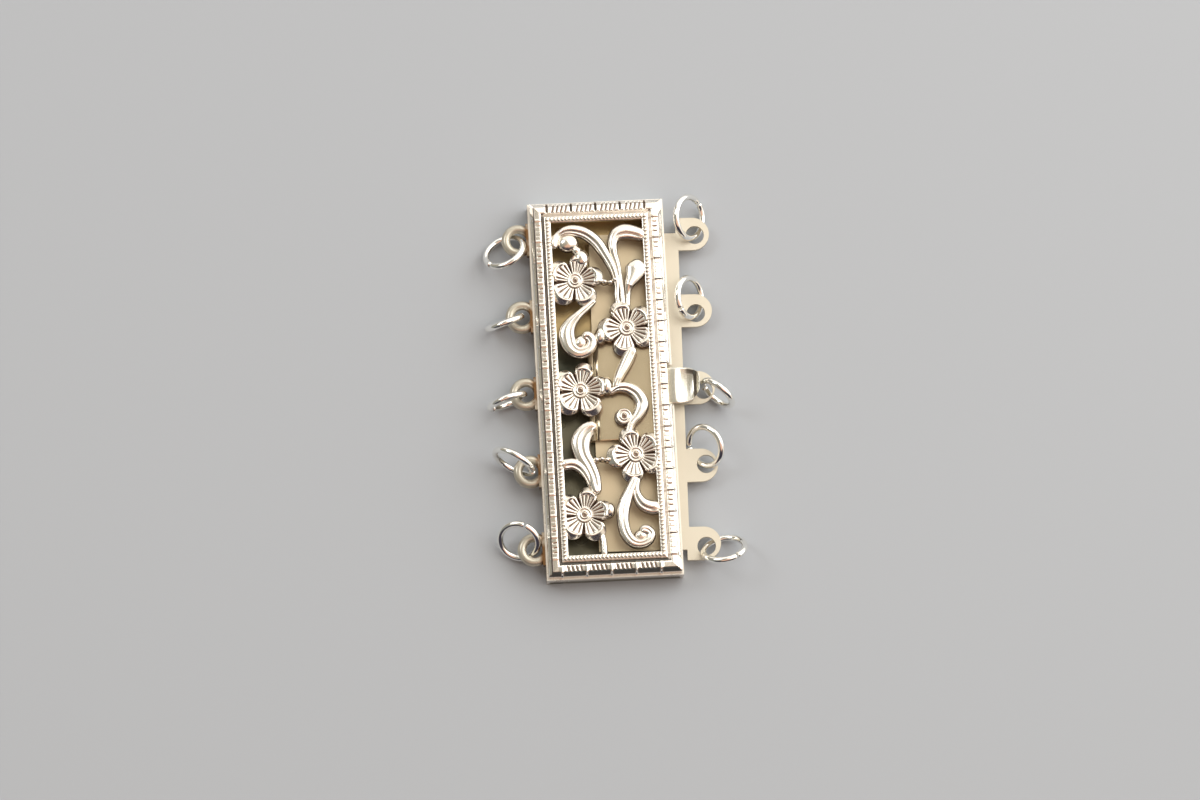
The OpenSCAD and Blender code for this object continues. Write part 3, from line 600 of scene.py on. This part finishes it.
def leaf_sheet(line, columns=96):
    """A section goes round the sheet at each x: a long rounded rectangle, |cos a|^0.5 across and |sin a|^0.22
    up and down. The sheet thins along the tab and to its lip, and the tab's middle is pressed down in a
    bowl. The lip and the bowl's sides count as a recess, which paints them dark as painted shade. A point at
    each end closes the surface."""
    x, half, mid, top = line.T
    a = np.linspace(0, 2 * np.pi, columns, endpoint=False)[None]
    c, s = np.cos(a), np.sin(a)
    across = np.sign(c) * np.abs(c) ** 0.5
    rise = np.sign(s) * np.abs(s) ** 0.22
    tab_thick, lip_thick = sheet - 0.05 * ease((x - 5.9) / 0.5), 0.14 + 0.16 * ease((7.74 - x) / 0.4)
    thick = np.minimum(tab_thick, lip_thick)[:, None]
    bowl = window(x, 5.95, 7.5, 0.5)[:, None] * (1 - np.clip(np.abs(across) / 0.93, 0, 1) ** 2.4)
    z = top[:, None] - thick / 2 + thick / 2 * rise - bowl_depth * bowl * (s > 0)
    y = mid[:, None] + half[:, None] * across
    lip_shade = window(x, 7.2, 7.46, 0.08)[:, None] * (s > 0.3) * (np.abs(across) < 0.97)
    side_shade = 0.8 * window(x, 6.5, 7.4, 0.5)[:, None] * window(across, 0.62, 0.95, 0.2) * (s > 0.1)
    x = x[:, None] + 0 * y
    turn_x = x * np.cos(tongue_turn) - y * np.sin(tongue_turn)
    turn_y = x * np.sin(tongue_turn) + y * np.cos(tongue_turn)
    grid = np.stack([turn_x, turn_y, z, lip_shade + side_shade + 0 * y], -1)
    start, stop = (row.mean(1, keepdims=True) + 0 * row for row in (grid[:1], grid[-1:]))
    return np.concatenate([start, grid, stop])


# Its near-black colour in a recess is painted shade on the lip and the bowl's sides
tab_silver = silver("tab silver with painted shade", (0.72, 0.7, 0.62), (0.1, 0.08, 0.06), 0.95, 0.22, 2e-5, 0.85)
# The leaf under the case is painted golden, as painted shade and reflection of the case's inside
masked(tab_silver, (0.88, 0.75, 0.53), [("X", 5.6, 4.6)])
build("sprung_leaf", [(leaf_sheet(refined(leaf_line, 4)), False, True)], tab_silver, "leaf", "matte_silver",
      "spring_leaf")


# Jump rings: round drawn silver wire, bent to a ring and cut once, so that it can be opened and
# threaded through its loop. Each lies as the photo shows it.
def spin(angle, axis):
    """The matrix that turns by so many degrees about an axis."""
    return np.array(Matrix.Rotation(np.radians(angle), 3, axis))


def wire_ring(outer, centre, tilt, bearing, cut, wire=0.26, rows=140, columns=28):
    """A wire of radius wire round an arc of 354 degrees of radius outer / 2 - wire, whose gap is turned to cut
    before the ring is tilted about Y and turned to its bearing about Z. Both cut ends are a little
    narrower and close in a point."""
    turn = np.radians(np.linspace(3, 357, rows))
    turn = np.concatenate([turn[:1], turn, turn[-1:]])[:, None]
    fat = np.array([0, 0.93, *np.ones(rows - 2), 0.93, 0])[:, None] * wire
    b = np.linspace(0, 2 * np.pi, columns, endpoint=False)[None]
    r = outer / 2 - wire + fat * np.cos(b)
    p = np.stack([r * np.cos(turn), r * np.sin(turn), fat * np.sin(b) + 0 * turn], -1)
    p = p @ (spin(bearing, "Z") @ spin(tilt, "Y") @ spin(cut, "Z")).T + np.array(centre)
    return np.concatenate([p, 0 * p[..., :1]], -1)


wire_silver = silver("bright wire silver", (0.95, 0.94, 0.9), (0.3, 0.2, 0.12), 0.5, 0.1, 1e-5)
# Ring: outer diameter, centre, tilt, bearing, place of the cut
rings = {
    "l1": (3.8, (-7.59, 11.84, 1.39), 42, 124, 105),
    "l2": (3.4, (-7.87, 5.84, 1.71), 77, 109, 260),
    "l3": (3.5, (-8.0, -0.73, 1.79), 90, 108, 62),
    "l4": (3.9, (-7.73, -5.85, 2.11), 80, 238, 100),
    "l5": (3.65, (-7.63, -12.25, 1.46), 42, 245, 180),
    "r1": (3.9, (7.7, 14.0, 1.56), 49, 349, 60),
    "r2": (3.7, (7.34, 7.28, 1.52), 50, 353, 225),
    "r3": (3.4, (9.14, -0.84, 1.72), 80, 229, 300),
    "r4": (3.75, (7.88, -5.17, 1.48), 47, 208, 330),
    "r5": (3.9, (8.92, -13.72, 1.59), 50, 102, 205)}
for loop, pose in rings.items():
    build("wire_ring_" + loop, [(wire_ring(*pose), False, True)], wire_silver,
          "box" if loop[0] == "l" else "tongue", "ring_silver", "jump_ring_" + loop)


# Studio: a pale sheet of paper under the clasp, a pale room with the bright and dark patches that
# the silver mirrors, and two soft lamps above. None of it belongs to the clasp.
floor_half = 0.6
floor_mesh = bpy.data.meshes.new("floor")
floor_mesh.from_pydata([(-floor_half, -floor_half, 0), (floor_half, -floor_half, 0),
                        (floor_half, floor_half, 0), (-floor_half, floor_half, 0)], [], [(0, 1, 2, 3)])
floor = bpy.data.objects.new("floor", floor_mesh)
bpy.context.scene.collection.objects.link(floor)
paper = bpy.data.materials.new("pale paper")
paper.use_nodes = True
paper.node_tree.nodes["Principled BSDF"].inputs["Base Color"].default_value = (0.42, 0.445, 0.475, 1)
paper.node_tree.nodes["Principled BSDF"].inputs["Roughness"].default_value = 0.8
floor_mesh.materials.append(paper)
surround = bpy.data.worlds.new("surround")
surround.use_nodes = True
room = surround.node_tree
sight = wired(room, "TexCoord", {}).outputs["Generated"]
# Patches, each over the one before: direction, cosine of the angle from it where the patch begins and
# where it is full, colour
patches = [
    ((1, 0, 0.05), -0.16, 0.34, (0.98, 0.87, 0.74)),
    ((0.1, 1.0, 0.4), 0.7, 0.85, (1.3, 1.26, 1.18)),
    ((1.0, 0.3, 0.45), 0.86, 0.93, (2.2, 2.2, 2.2)),
    ((0, -0.75, 1), 0.88, 0.95, (0.85, 0.5, 0.36)),
    ((-0.7, -1.0, 0.45), 0.895, 0.95, (0.045, 0.04, 0.055)),
    ((0.0, -1.0, 0.45), 0.895, 0.95, (0.045, 0.04, 0.055)),
    ((0.6, -1.0, 0.45), 0.895, 0.95, (0.045, 0.04, 0.055)),
    ((-0.6, 0.45, 0.9), 0.97, 0.985, (1.6, 1.6, 1.6)),
    ((-1.0, -0.2, 0.35), 0.9, 0.95, (0.26, 0.265, 0.24))]
tone = (0.36, 0.33, 0.265, 1)
for toward, begins, full, colour in patches:
    share = wired(room, "VectorMath", {0: sight, 1: Vector(toward).normalized()}, "DOT_PRODUCT")
    step = wired(room, "MapRange", {"Value": share.outputs["Value"], "From Min": begins, "From Max": full},
                 "SMOOTHSTEP")
    tone = wired(room, "Mix", {"Factor": step.outputs["Result"], "A": tone, "B": (*colour, 1)},
                 "RGBA").outputs["Result"]
room.links.new(tone, room.nodes["Background"].inputs["Color"])
room.nodes["Background"].inputs["Strength"].default_value = 1.0
bpy.context.scene.world = surround


def lamp(name, at, size, power, colour):
    """A square soft lamp, with its place and size in metres and its power in watts, facing the clasp."""
    light = bpy.data.lights.new(name, "AREA")
    light.size = size
    light.energy = power
    light.color = colour
    holder = bpy.data.objects.new(name, light)
    holder.location = at
    holder.rotation_euler = (-Vector(at)).to_track_quat("-Z", "Y").to_euler()
    bpy.context.scene.collection.objects.link(holder)


lamp("key", (0.14, 0.09, 0.2), 0.28, 0.4, (1.0, 0.98, 0.95))
lamp("fill", (-0.2, 0.1, 0.22), 0.1, 0.12, (0.95, 0.97, 1.0))
